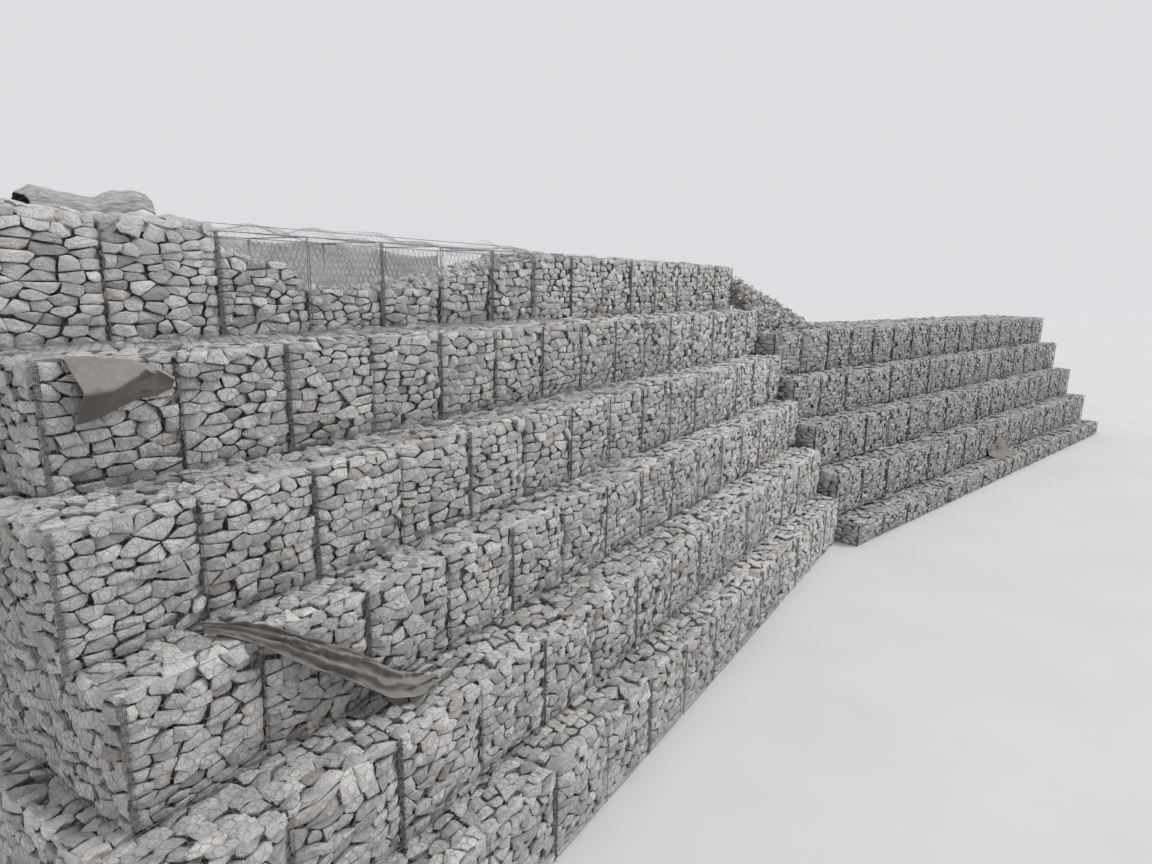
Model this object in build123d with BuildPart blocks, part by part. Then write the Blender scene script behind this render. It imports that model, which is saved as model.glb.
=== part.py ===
"""Stepped gabion retaining wall in two runs that meet at a bend, with the top course half filled.

X runs along the left run towards the bend, Y into the bank and Z up, in millimetres.
The origin is on the underside, below the point where the two runs meet.
"""
import os
from math import cos, radians, sin
from build123d import *

os.makedirs("parts", exist_ok=True)

# Basket sizes
CELL = 1000
CELLS_PER_BASKET = 2
COURSE_HEIGHT = 1000
FRONT_ROW_DEPTH = 1000
BASKET_GAP = 12
SHORTEST_CELL = 350

# Bulge of the stones between the seams
BULGE = 60
SEAM_STRIP = 36
BULGE_SLOPE = 100

# Wires laced along the edges
LACED_WIRE = 26
DIAPHRAGM_WIRE = 14
END_WIRE = 16
WIRE_DEPTH = 18

# Hexagonal mesh of the open baskets
MESH_THICKNESS = 8
MESH_RIB = 20
MESH_HEX = 380
MESH_BORDER = 24
MESH_CLEARANCE = 4

# Left run: its length, each lower course's front, its reach past that length, and its first cell
LEFT_LENGTH = 14750
LEFT_COURSES = {
    2: dict(front=0, past=0, first_cell=CELL),
    3: dict(front=-690, past=300, first_cell=CELL),
    4: dict(front=-1210, past=220, first_cell=CELL),
    5: dict(front=-1850, past=500, first_cell=CELL),
    6: dict(front=-2350, past=500, first_cell=CELL / 2),
}
LOWEST_COURSE = max(LEFT_COURSES)
TOP_FRONT = 800
TOP_FIRST_CELL = 900
OPEN_CELLS = 5
FILL_SHARES = ((0.87, 0.70), (0.50, 0.48), (0.50, 0.56), (0.60, 0.79), (0.79, 0.96))

# Lids not yet closed, folded back
LID_CELLS = 7
LID_LEAN = 12
LID_LENGTH = 1000

# Right run: the bend, its cells, how far its courses lie lower, and their fronts
BEND_ANGLE = 14.7
RIGHT_CELL = 1250
RIGHT_CELL_COUNT = 16
RIGHT_DROP = 500
RIGHT_BACK = 1850
RIGHT_FRONTS = {2: -480, 3: -1080, 4: -1700, 5: -2340, 6: -2930}

# Loose stones heaped on the right run at the bend
HEAP_LENGTH = 2600
HEAP_DROP = 120
HEAP_SETBACK = 450
HEAP_TOE = 150
HEAP_CLEARANCE = 6

# Filter fabric, with the distances of each strip from the end of its run
FABRIC = 10
FABRIC_CLEARANCE = 0.3
BACK_FABRIC_SETDOWN = 100
BACK_FABRIC_START = 100
NEAR_FABRIC_FROM_END = (100, 950)
NEAR_FABRIC_LIE = 80
NEAR_FABRIC_HANG = 420
TOE_FABRIC_FROM_END = (720, 1170, 2020, 2370, 2520)
TOE_FABRIC_EDGE = 60
TOE_FABRIC_LIE = 350
TOE_FABRIC_OVERLAP = 450
FAR_FABRIC_FROM_END = (9000, 10600)
FAR_FABRIC_RISE = 650
FAR_FABRIC_LIE = 400
TOP_FABRIC_FROM_END = (650, 1600)
TOP_FABRIC_LIE = 550
TOP_FABRIC_HANG = 380
LINING_CELLS = 4
LINING_SETDOWN = 10

# Places that follow from these sizes
LEFT_BACK = TOP_FRONT + FRONT_ROW_DEPTH
TOP_BOTTOM = (LOWEST_COURSE - 1) * COURSE_HEIGHT
TOP_START = -LEFT_LENGTH
OPEN_START = TOP_START + TOP_FIRST_CELL + CELL
LEFT_BOTTOMS = {number: (LOWEST_COURSE - number) * COURSE_HEIGHT for number in LEFT_COURSES}
LEFT_STARTS = {number: TOP_START - sizes["past"] for number, sizes in LEFT_COURSES.items()}


def save(part, label):
    """Label a finished piece and write its file."""
    part.label = label
    export_step(part, f"parts/{label}.step")


left_plan = Plane.XY
bend_direction = Vector(cos(radians(BEND_ANGLE)), -sin(radians(BEND_ANGLE)), 0)
right_plan = Plane(origin=(0, 0, 0), x_dir=bend_direction, z_dir=(0, 0, 1))
bend_plane = Plane(origin=(0, 0, 0), x_dir=right_plan.y_dir, z_dir=bend_direction)


def cell_edges(start, seam, end, cell):
    """Places of the seams between two ends, without a sliver of a cell at either."""
    edges = [start]
    while seam < end - SHORTEST_CELL:
        if seam > start + SHORTEST_CELL:
            edges.append(seam)
        seam += cell
    return edges + [end]


def basket_ends(edges):
    """Pairs of places between which each basket of one or two cells lies."""
    joints = edges[::CELLS_PER_BASKET]
    if joints[-1] != edges[-1]:
        joints.append(edges[-1])
    return list(zip(joints, joints[1:]))


def front_plane(plan, front):
    """Upright plane of a course's front, with its own X along the run and Z outwards."""
    return Plane(
        origin=plan.from_local_coords(Vector(0, front, 0)),
        x_dir=plan.x_dir,
        z_dir=-plan.y_dir,
    )


def course(plan, front, back, bottom, height, edges):
    """Add a course: a front row of baskets, the row behind it, and the swelling of each cell."""
    half = BASKET_GAP / 2
    rows = [(front, front + FRONT_ROW_DEPTH - half)]
    if back > front + FRONT_ROW_DEPTH + SHORTEST_CELL:
        rows.append((front + FRONT_ROW_DEPTH + half, back))
    with BuildSketch(plan.offset(bottom)) as footprint:
        for left, right in basket_ends(edges):
            for near, far in rows:
                with Locations(((left + right) / 2, (near + far) / 2)):
                    Rectangle(right - left - BASKET_GAP, far - near)
    extrude(footprint.sketch, amount=height)
    with BuildSketch(plan.offset(bottom)) as seen_from_above:
        for left, right in zip(edges, edges[1:]):
            with BuildLine():
                Polyline(
                    (left + SEAM_STRIP / 2, front),
                    (left + SEAM_STRIP / 2 + BULGE_SLOPE, front - BULGE),
                    (right - SEAM_STRIP / 2 - BULGE_SLOPE, front - BULGE),
                    (right - SEAM_STRIP / 2, front),
                    close=True,
                )
            make_face()
    cells = extrude(seen_from_above.sketch, amount=height, mode=Mode.PRIVATE)
    end = plan.from_local_coords(Vector(edges[0], 0, 0))
    with BuildSketch(Plane(origin=end, x_dir=plan.y_dir, z_dir=plan.x_dir)) as seen_from_the_end:
        with BuildLine():
            Polyline(
                (front, bottom + SEAM_STRIP),
                (front, bottom + height - SEAM_STRIP),
                (front - BULGE, bottom + height - SEAM_STRIP - BULGE_SLOPE),
                (front - BULGE, bottom + SEAM_STRIP + BULGE_SLOPE),
                close=True,
            )
        make_face()
    band = extrude(seen_from_the_end.sketch, amount=edges[-1] - edges[0], mode=Mode.PRIVATE)
    add(cells & band)


def seam_wires(plan, front, bottom, height, edges):
    """Add the laced edge wires of a course and the lines of its diaphragms."""
    joints = {joint for ends in basket_ends(edges) for joint in ends}
    length = edges[-1] - edges[0]
    with BuildSketch(front_plane(plan, front)) as grid:
        for edge in edges[1:-1]:
            with Locations((edge, bottom + height / 2)):
                Rectangle(LACED_WIRE if edge in joints else DIAPHRAGM_WIRE, height)
        for edge, inward in ((edges[0], 1), (edges[-1], -1)):
            with Locations((edge + inward * END_WIRE / 2, bottom + height / 2)):
                Rectangle(END_WIRE, height)
        for level in (bottom + LACED_WIRE / 2, bottom + height - LACED_WIRE / 2):
            with Locations((edges[0] + length / 2, level)):
                Rectangle(length, LACED_WIRE)
    extrude(grid.sketch, amount=WIRE_DEPTH)


def end_at_bend(part_side):
    """Mitre what is built so far on the upright plane where the runs meet."""
    split(bisect_by=bend_plane, keep=part_side)


# Reach of a left course past the bend, so that its mitred end is whole
PAST_BEND = 600

# Left run
for number, sizes in LEFT_COURSES.items():
    start = LEFT_STARTS[number]
    edges = cell_edges(start, start + sizes["first_cell"], PAST_BEND, CELL)
    with BuildPart() as baskets:
        course(left_plan, sizes["front"], LEFT_BACK, LEFT_BOTTOMS[number], COURSE_HEIGHT, edges)
        end_at_bend(Keep.BOTTOM)
    save(baskets.part, f"left_course_{number}_baskets")
    with BuildPart() as wires:
        seam_wires(left_plan, sizes["front"], LEFT_BOTTOMS[number], COURSE_HEIGHT, edges)
        end_at_bend(Keep.BOTTOM)
    save(wires.part, f"left_course_{number}_seam_wires")

# Top course of the left run
open_end = OPEN_START + OPEN_CELLS * CELL
top_edges = cell_edges(TOP_START, TOP_START + TOP_FIRST_CELL, OPEN_START, CELL)
with BuildPart() as near_basket:
    course(left_plan, TOP_FRONT, LEFT_BACK, TOP_BOTTOM, COURSE_HEIGHT, top_edges)
save(near_basket.part, "top_course_near_basket")

far_edges = cell_edges(open_end, open_end + CELL, PAST_BEND, CELL)
with BuildPart() as far_baskets:
    course(left_plan, TOP_FRONT, LEFT_BACK, TOP_BOTTOM, COURSE_HEIGHT, far_edges)
    end_at_bend(Keep.BOTTOM)
save(far_baskets.part, "top_course_far_baskets")

open_edges = [OPEN_START + n * CELL for n in range(OPEN_CELLS + 1)]
with BuildPart() as top_wires:
    all_edges = top_edges + open_edges[1:] + far_edges[1:]
    seam_wires(left_plan, TOP_FRONT, TOP_BOTTOM, COURSE_HEIGHT, all_edges)
    end_at_bend(Keep.BOTTOM)
save(top_wires.part, "top_course_seam_wires")


def mesh_panel(plane, width, height):
    """Add a panel of hexagonal mesh inside its edges, its lower left corner on the plane's origin."""
    inside_width = width - 2 * MESH_BORDER
    inside_height = height - 2 * MESH_BORDER
    columns = int(inside_width // (MESH_HEX + MESH_RIB)) + 1
    rows = int(inside_height // ((MESH_HEX + MESH_RIB) * cos(radians(30)))) + 2
    with BuildSketch(plane) as panel:
        with Locations((width / 2, height / 2)):
            Rectangle(width, height)
        with BuildSketch(mode=Mode.PRIVATE) as holes:
            with HexLocations(radius=(MESH_HEX + MESH_RIB) / 2, x_count=columns, y_count=rows):
                RegularPolygon(radius=MESH_HEX / 2, side_count=6, major_radius=False)
            Rectangle(inside_width, inside_height, mode=Mode.INTERSECT)
        with Locations((width / 2, height / 2)):
            add(holes.sketch, mode=Mode.SUBTRACT)
    extrude(panel.sketch, amount=MESH_THICKNESS)


open_length = OPEN_CELLS * CELL
front_mesh_plane = Plane(
    origin=(OPEN_START, TOP_FRONT + MESH_THICKNESS, TOP_BOTTOM), x_dir=(1, 0, 0), z_dir=(0, -1, 0)
)
with BuildPart() as front_mesh:
    mesh_panel(front_mesh_plane, open_length, COURSE_HEIGHT)
save(front_mesh.part, "open_basket_front_mesh")

with BuildPart() as back_mesh:
    mesh_panel(
        Plane(origin=(OPEN_START, LEFT_BACK, TOP_BOTTOM), x_dir=(1, 0, 0), z_dir=(0, -1, 0)),
        open_length,
        COURSE_HEIGHT,
    )
save(back_mesh.part, "open_basket_back_mesh")

lid_direction = Vector(0, cos(radians(LID_LEAN)), sin(radians(LID_LEAN)))
with BuildPart() as lids:
    mesh_panel(
        Plane(
            origin=(OPEN_START, LEFT_BACK, TOP_BOTTOM + COURSE_HEIGHT),
            x_dir=(1, 0, 0),
            z_dir=Vector(1, 0, 0).cross(lid_direction),
        ),
        LID_CELLS * CELL,
        LID_LENGTH,
    )
save(lids.part, "open_basket_lids")

diaphragm_depth = LEFT_BACK - TOP_FRONT - 2 * MESH_THICKNESS
for number, place in enumerate(open_edges[1:-1], 1):
    with BuildPart() as diaphragm:
        mesh_panel(
            Plane(
                origin=(place - MESH_THICKNESS / 2, TOP_FRONT + MESH_THICKNESS, TOP_BOTTOM),
                x_dir=(0, 1, 0),
                z_dir=(1, 0, 0),
            ),
            diaphragm_depth,
            COURSE_HEIGHT,
        )
    save(diaphragm.part, f"open_basket_diaphragm_{number}")

for number, (left_share, right_share) in enumerate(FILL_SHARES, 1):
    first = open_edges[number - 1] + MESH_CLEARANCE + MESH_THICKNESS / 2
    last = open_edges[number] - MESH_CLEARANCE - MESH_THICKNESS / 2
    fill_front = TOP_FRONT + MESH_THICKNESS + MESH_CLEARANCE
    fill_back = LEFT_BACK - MESH_THICKNESS - MESH_CLEARANCE
    with BuildPart() as fill:
        with BuildSketch(Plane(origin=(0, fill_front, TOP_BOTTOM), x_dir=(1, 0, 0), z_dir=(0, -1, 0))):
            with BuildLine():
                Polyline(
                    (first, 0),
                    (last, 0),
                    (last, right_share * COURSE_HEIGHT),
                    (first, left_share * COURSE_HEIGHT),
                    close=True,
                )
            make_face()
        extrude(amount=fill_front - fill_back)
    save(fill.part, f"open_basket_stone_fill_{number}")

# Right run
right_end = RIGHT_CELL * RIGHT_CELL_COUNT
right_edges = [RIGHT_CELL * n for n in range(RIGHT_CELL_COUNT + 1)]
for number, front in RIGHT_FRONTS.items():
    bottom = max((LOWEST_COURSE - number) * COURSE_HEIGHT - RIGHT_DROP, 0)
    height = COURSE_HEIGHT - RIGHT_DROP if number == LOWEST_COURSE else COURSE_HEIGHT
    with BuildPart() as baskets:
        course(right_plan, front, RIGHT_BACK, bottom, height, right_edges)
    save(baskets.part, f"right_course_{number}_baskets")
    with BuildPart() as wires:
        seam_wires(right_plan, front, bottom, height, right_edges)
    save(wires.part, f"right_course_{number}_seam_wires")

# Stones heaped loose on the right run at the bend, against the end of the left run
heap_bottom = TOP_BOTTOM - RIGHT_DROP
heap_top = TOP_BOTTOM + COURSE_HEIGHT - HEAP_DROP
heap_front = RIGHT_FRONTS[2] + HEAP_SETBACK
with BuildPart() as heap:
    with BuildSketch(right_plan.offset(heap_bottom)) as heap_foot:
        with BuildLine():
            Polyline(
                (HEAP_CLEARANCE, heap_front),
                (HEAP_LENGTH, heap_front + HEAP_SETBACK),
                (HEAP_LENGTH, RIGHT_BACK),
                (HEAP_CLEARANCE, RIGHT_BACK),
                close=True,
            )
        make_face()
    extrude(heap_foot.sketch, amount=heap_top - heap_bottom)
    slope_start = right_plan.from_local_coords(Vector(HEAP_LENGTH, 0, heap_bottom + HEAP_TOE))
    slope_rise = heap_top - heap_bottom - HEAP_TOE
    slope = (right_plan.x_dir * (HEAP_CLEARANCE - HEAP_LENGTH) + right_plan.z_dir * slope_rise).normalized()
    split(
        bisect_by=Plane(origin=slope_start, x_dir=right_plan.y_dir, z_dir=right_plan.y_dir.cross(slope)),
        keep=Keep.BOTTOM,
    )
    face_top = right_plan.from_local_coords(Vector(0, TOP_FRONT, heap_top))
    face_foot = right_plan.from_local_coords(Vector(0, heap_front, heap_bottom + HEAP_TOE))
    face_rise = face_top - face_foot
    split(
        bisect_by=Plane(
            origin=face_foot, x_dir=right_plan.x_dir, z_dir=right_plan.x_dir.cross(face_rise.normalized())
        ),
        keep=Keep.BOTTOM,
    )
save(heap.part, "loose_stone_heap")


def fabric_strip(plan, ends, outline):
    """Add a strip of fabric of one outline, seen from its end, between two places along a run."""
    start = plan.from_local_coords(Vector(ends[0], 0, 0))
    with BuildSketch(Plane(origin=start, x_dir=plan.y_dir, z_dir=plan.x_dir)) as profile:
        with BuildLine():
            Polyline(*outline, close=True)
        make_face()
    extrude(profile.sketch, amount=ends[1] - ends[0])


# Over the front edge of the second course, at its left end
near_ends = [LEFT_STARTS[2] + distance for distance in NEAR_FABRIC_FROM_END]
near_back = LEFT_COURSES[2]["front"] + NEAR_FABRIC_LIE
near_face = LEFT_COURSES[2]["front"] - BULGE - FABRIC_CLEARANCE
near_level = TOP_BOTTOM + FABRIC_CLEARANCE
near_foot = TOP_BOTTOM - NEAR_FABRIC_HANG
with BuildPart() as near_end_fabric:
    fabric_strip(
        left_plan,
        near_ends,
        [
            (near_back, near_level),
            (near_face, near_level),
            (near_face, near_foot),
            (near_face - FABRIC, near_foot),
            (near_face - FABRIC, near_level + FABRIC),
            (near_back, near_level + FABRIC),
        ],
    )
save(near_end_fabric.part, "near_end_fabric")

# Down the front of the fourth course on a slant, from its top to the course below
toe_left, toe_bend, toe_low, toe_right, toe_last = [LEFT_STARTS[4] + place for place in TOE_FABRIC_FROM_END]
toe_face = LEFT_COURSES[4]["front"] - BULGE - FABRIC_CLEARANCE
toe_top = LEFT_BOTTOMS[3] + FABRIC_CLEARANCE
toe_floor = LEFT_BOTTOMS[4] + FABRIC_CLEARANCE
with BuildPart() as toe_fabric:
    with BuildSketch(front_plane(left_plan, toe_face)) as slant:
        with BuildLine():
            Polyline(
                (toe_left, toe_top + FABRIC),
                (toe_bend, toe_top + FABRIC),
                (toe_right, toe_floor + TOE_FABRIC_EDGE),
                (toe_right, toe_floor),
                (toe_low, toe_floor),
                close=True,
            )
        make_face()
    extrude(slant.sketch, amount=FABRIC)
    with BuildSketch(left_plan.offset(toe_top)) as top_strip:
        with Locations(((toe_left + toe_bend) / 2, toe_face + TOE_FABRIC_OVERLAP / 2)):
            Rectangle(toe_bend - toe_left, TOE_FABRIC_OVERLAP)
    extrude(top_strip.sketch, amount=FABRIC)
    with BuildSketch(left_plan.offset(toe_floor)) as foot_strip:
        with Locations(((toe_low + toe_last) / 2, toe_face - TOE_FABRIC_LIE / 2)):
            Rectangle(toe_last - toe_low, TOE_FABRIC_LIE)
    extrude(foot_strip.sketch, amount=FABRIC)
save(toe_fabric.part, "toe_fabric")

# On the lowest course of the right run, turned up against the course above
far_ends = sorted(right_end - distance for distance in FAR_FABRIC_FROM_END)
far_face = RIGHT_FRONTS[5] - BULGE - FABRIC_CLEARANCE
far_front = far_face - FAR_FABRIC_LIE
far_level = COURSE_HEIGHT - RIGHT_DROP + FABRIC_CLEARANCE
with BuildPart() as far_end_fabric:
    fabric_strip(
        right_plan,
        far_ends,
        [
            (far_front, far_level),
            (far_face, far_level),
            (far_face, far_level + FAR_FABRIC_RISE),
            (far_face - FABRIC, far_level + FAR_FABRIC_RISE),
            (far_face - FABRIC, far_level + FABRIC),
            (far_front, far_level + FABRIC),
        ],
    )
save(far_end_fabric.part, "far_end_fabric")

# Over the back edge of the top course, at its left end
top_ends = [TOP_START + distance for distance in TOP_FABRIC_FROM_END]
top_face = LEFT_BACK + FABRIC_CLEARANCE
top_level = TOP_BOTTOM + COURSE_HEIGHT + FABRIC_CLEARANCE
top_foot = top_level - TOP_FABRIC_HANG
with BuildPart() as top_end_fabric:
    fabric_strip(
        left_plan,
        top_ends,
        [
            (LEFT_BACK - TOP_FABRIC_LIE, top_level),
            (top_face, top_level),
            (top_face, top_foot),
            (top_face + FABRIC, top_foot),
            (top_face + FABRIC, top_level + FABRIC),
            (LEFT_BACK - TOP_FABRIC_LIE, top_level + FABRIC),
        ],
    )
save(top_end_fabric.part, "top_end_fabric")

# Behind the back mesh of the open baskets
with BuildPart() as lining_fabric:
    with BuildSketch(left_plan.offset(TOP_BOTTOM + FABRIC_CLEARANCE)) as strip:
        with Locations((OPEN_START + LINING_CELLS * CELL / 2, LEFT_BACK + FABRIC_CLEARANCE + FABRIC / 2)):
            Rectangle(LINING_CELLS * CELL, FABRIC)
    extrude(strip.sketch, amount=COURSE_HEIGHT - LINING_SETDOWN)
save(lining_fabric.part, "open_basket_lining_fabric")

with BuildPart() as left_back_fabric:
    with BuildSketch(Plane.XY.offset(FABRIC_CLEARANCE)) as strip:
        with Locations((-LEFT_LENGTH / 2, LEFT_BACK + FABRIC_CLEARANCE + FABRIC / 2)):
            Rectangle(LEFT_LENGTH, FABRIC)
    extrude(strip.sketch, amount=TOP_BOTTOM - BACK_FABRIC_SETDOWN)
save(left_back_fabric.part, "left_back_fabric")

with BuildPart() as right_back_fabric:
    with BuildSketch(right_plan.offset(FABRIC_CLEARANCE)) as strip:
        with Locations((right_end / 2 + BACK_FABRIC_START, RIGHT_BACK + FABRIC_CLEARANCE + FABRIC / 2)):
            Rectangle(right_end - 2 * BACK_FABRIC_START, FABRIC)
    extrude(strip.sketch, amount=heap_bottom - FABRIC)
save(right_back_fabric.part, "right_back_fabric")
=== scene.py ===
"""Stepped gabion retaining wall: its stones, woven wire, laced seams and filter fabric."""
from math import ceil, cos, pi, radians, sin, tan

import bmesh
import bpy
import numpy as np
from mathutils import Matrix, Vector, noise


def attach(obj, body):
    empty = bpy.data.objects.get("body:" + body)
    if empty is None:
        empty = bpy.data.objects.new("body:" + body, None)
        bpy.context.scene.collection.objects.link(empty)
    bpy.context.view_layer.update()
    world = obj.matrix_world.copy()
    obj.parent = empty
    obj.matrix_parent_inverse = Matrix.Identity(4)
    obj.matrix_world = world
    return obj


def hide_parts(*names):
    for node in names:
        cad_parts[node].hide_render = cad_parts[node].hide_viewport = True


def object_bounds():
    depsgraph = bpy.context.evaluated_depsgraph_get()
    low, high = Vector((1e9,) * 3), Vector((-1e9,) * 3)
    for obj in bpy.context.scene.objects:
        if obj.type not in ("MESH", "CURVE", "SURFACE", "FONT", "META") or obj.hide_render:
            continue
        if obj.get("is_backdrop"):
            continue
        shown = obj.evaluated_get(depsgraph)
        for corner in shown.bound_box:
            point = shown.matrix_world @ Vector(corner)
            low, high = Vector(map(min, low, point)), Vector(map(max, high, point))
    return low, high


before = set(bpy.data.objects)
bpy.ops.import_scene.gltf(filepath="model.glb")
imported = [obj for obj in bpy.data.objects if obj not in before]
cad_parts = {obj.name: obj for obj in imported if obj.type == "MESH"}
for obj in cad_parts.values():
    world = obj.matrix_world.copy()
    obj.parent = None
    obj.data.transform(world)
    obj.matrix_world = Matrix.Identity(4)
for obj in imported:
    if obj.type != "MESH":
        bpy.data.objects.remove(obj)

cad_low, cad_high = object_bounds()
UP = np.array([0.0, 0.0, 1.0])

# Sizes of the wall in metres, the same as the frame's
CELL = 1.0
SHORTEST_CELL = 0.35
CELLS_PER_BASKET = 2
BULGE = 0.05
BEND_ANGLE = radians(14.7)
MITRE = tan(BEND_ANGLE)
LEFT_BACK = 1.8
RIGHT_BACK = 1.85
TOP_FRONT = 0.8
TOP_BOTTOM = 5.0
TOP_LEVEL = TOP_BOTTOM + CELL
TOP_START = -14.75
TOP_SEAM = -13.85
OPEN_START = -12.85
OPEN_CELLS = 5
FILL_HEIGHTS = ((0.87, 0.70), (0.50, 0.48), (0.50, 0.56), (0.60, 0.79), (0.79, 0.96))
LID_LEAN = radians(12)
LID_CELLS = 7
LEFT_COURSES = {
    2: dict(bottom=4.0, front=0.0, start=-14.75, seam=-13.75),
    3: dict(bottom=3.0, front=-0.69, start=-15.05, seam=-14.05),
    4: dict(bottom=2.0, front=-1.21, start=-14.97, seam=-13.97),
    5: dict(bottom=1.0, front=-1.85, start=-15.25, seam=-14.25),
    6: dict(bottom=0.0, front=-2.35, start=-15.25, seam=-14.75),
}
RIGHT_CELL = 1.25
RIGHT_LENGTH = 20.0
RIGHT_COURSES = {
    2: dict(bottom=3.5, height=1.0, front=-0.48),
    3: dict(bottom=2.5, height=1.0, front=-1.08),
    4: dict(bottom=1.5, height=1.0, front=-1.70),
    5: dict(bottom=0.5, height=1.0, front=-2.34),
    6: dict(bottom=0.0, height=0.5, front=-2.93),
}

# Stones
STONE_ROW = 0.088
STONE_LENGTH = 0.175
STONE_ROOT = 0.12
CORE_DEPTH = 0.055
FACE_RELIEF = (-0.02, 0.03)
TOP_RELIEF = (-0.03, 0.03)
UNDER_NEXT_COURSE = 0.06
SEAM_INSET = 0.006
FAR_SEAM_INSET = 0.02
FILL_INSET = 0.012
HEAPED_STONE = dict(length=0.165)
LEFT_BERM_STONE = dict(relief=TOP_RELIEF, row=0.11, length=0.16)
RIGHT_BERM_STONE = dict(relief=TOP_RELIEF, row=0.13, length=0.18)
FAR_TOP_STONE = dict(relief=TOP_RELIEF, row=0.12, length=0.16)
NEAR_TOP_STONE = dict(relief=(0.0, 0.04), row=0.14, length=0.19)
END_BULGE = 0.03
SIDE_BULGE = 0.02
BERM_BULGE = 0.012
OVERFILL = 0.07
SHORTEST_END_CELL = 0.3
INNER_END = 0.03
FILL_CORE_INSET = 0.09
FILL_SIDE_INSET = 0.02
FILL_CORE_DROP = 0.1
FILL_BRIM = 0.03
FILL_STONES = dict(spacing=0.115, sizes=(0.06, 0.13), sink=0.45, lie=0.6)

# Wires, each kind by its radius
MESH_WIRE = 0.002
MESH_OFF = 0.034
FRONT_SLACK = 0.006
BERM_SLACK = 0.012
EDGE_WIRE = 0.006
LACING_WIRE = 0.0028
HEX_WIDTH = 0.08
HEX_PITCH = 0.08
HEX_TWIST = 0.045


class Run:
    """A straight run of the wall, with x along it, y into the bank and z up."""

    def __init__(self, angle):
        self.along = np.array([cos(angle), -sin(angle), 0.0])
        self.inward = np.array([sin(angle), cos(angle), 0.0])

    def point(self, x, y, z):
        return self.along * x + self.inward * y + UP * z


LEFT = Run(0.0)
RIGHT = Run(BEND_ANGLE)


class Panel:
    """A flat side: a corner, two directions in it, its size, its swelling and a slanting cut."""

    def __init__(self, corner, across, up, width, height, bulge=0.0, cut=None):
        self.corner, self.across, self.up = corner, across, up
        self.normal = np.cross(across, up)
        self.width, self.height = width, height
        self.bulge, self.cut = bulge, cut

    def swell(self, places):
        a = 1 - (2 * places[:, 0] / self.width - 1) ** 4
        b = 1 - (2 * places[:, 1] / self.height - 1) ** 4
        return self.bulge * np.clip(a, 0, 1) * np.clip(b, 0, 1)

    def place(self, places, heights):
        return (
            self.corner
            + places[:, :1] * self.across
            + places[:, 1:2] * self.up
            + np.reshape(heights, (-1, 1)) * self.normal
        )


def front_panel(run, left, right, front, bottom, height, **more):
    return Panel(run.point(left, front, bottom), run.along, UP, right - left, height, **more)


def top_panel(run, left, right, front, back, level, **more):
    return Panel(run.point(left, front, level), run.along, run.inward, right - left, back - front, **more)


def start_panel(run, x, front, back, bottom, height, **more):
    return Panel(run.point(x, back, bottom), -run.inward, UP, back - front, height, **more)


def end_panel(run, x, front, back, bottom, height, **more):
    return Panel(run.point(x, front, bottom), run.inward, UP, back - front, height, **more)


def back_panel(run, left, right, back, bottom, height, **more):
    return Panel(run.point(right, back, bottom), -run.along, UP, right - left, height, **more)


def add_object(name, data):
    made = bpy.data.objects.new(name, data)
    bpy.context.scene.collection.objects.link(made)
    return made


class Shape:
    """Points and faces of one piece, with a number for each face's material."""

    def __init__(self):
        self.points, self.faces, self.kinds, self.count = [], [], [], 0

    def add(self, points, faces, kind=0):
        first = self.count
        self.points.append(np.asarray(points, float))
        self.faces.extend([tuple(first + i for i in face) for face in faces])
        self.kinds.extend([kind] * len(faces))
        self.count += len(points)

    def piece(self, name, slot, materials, smooth=False):
        mesh = bpy.data.meshes.new(name)
        mesh.from_pydata(np.concatenate(self.points).tolist(), [], self.faces)
        for material in materials:
            mesh.materials.append(material)
        mesh.polygons.foreach_set("material_index", self.kinds)
        mesh.polygons.foreach_set("use_smooth", [smooth] * len(self.faces))
        mesh.update()
        made = add_object(name, mesh)
        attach(made, "root")
        return made


def between(first, second, share):
    """The place at a share of the way from one place to another."""
    return first[0] + share * (second[0] - first[0]), first[1] + share * (second[1] - first[1])


def clip(outline, a, b, c):
    """The part of an outline where a u + b v is at most c."""
    kept = []
    last = outline[-1]
    last_over = a * last[0] + b * last[1] - c
    for point in outline:
        over = a * point[0] + b * point[1] - c
        if (over <= 0) != (last_over <= 0):
            kept.append(between(last, point, last_over / (last_over - over)))
        if over <= 0:
            kept.append(point)
        last, last_over = point, over
    return kept


def split_evenly(total, size, spread, rng):
    """Random lengths near one size that add up to a total."""
    count = max(1, round(total / size))
    lengths = rng.uniform(1 - spread, 1 + spread, count)
    return lengths * total / lengths.sum()


NEIGHBOURS = 12
MISSING_SITES = 0.12
WIDEST_GAP = 0.03
UPRIGHT_GAP_SHARE = 0.3
SEAM_GAP = 0.014


def stone_sites(panel, row, length, rng):
    """Middles of stones in rough rows that rise and dip a little along the panel."""
    slope, swing, phase = rng.normal(0, 0.03), rng.uniform(0.0, 0.03), rng.uniform(0, 2 * pi)
    sites = []
    level = 0.0
    for height in split_evenly(panel.height, row, 0.42, rng):
        x = 0.0
        for width in split_evenly(panel.width, length, 0.55, rng):
            u = x + width * rng.uniform(0.38, 0.62)
            v = level + height * rng.uniform(0.3, 0.7)
            v += slope * (u - panel.width / 2) + swing * sin(6 * u + phase)
            if rng.random() > MISSING_SITES:
                sites.append((u, v))
            x += width
        level += height
    return np.array(sites)


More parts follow.
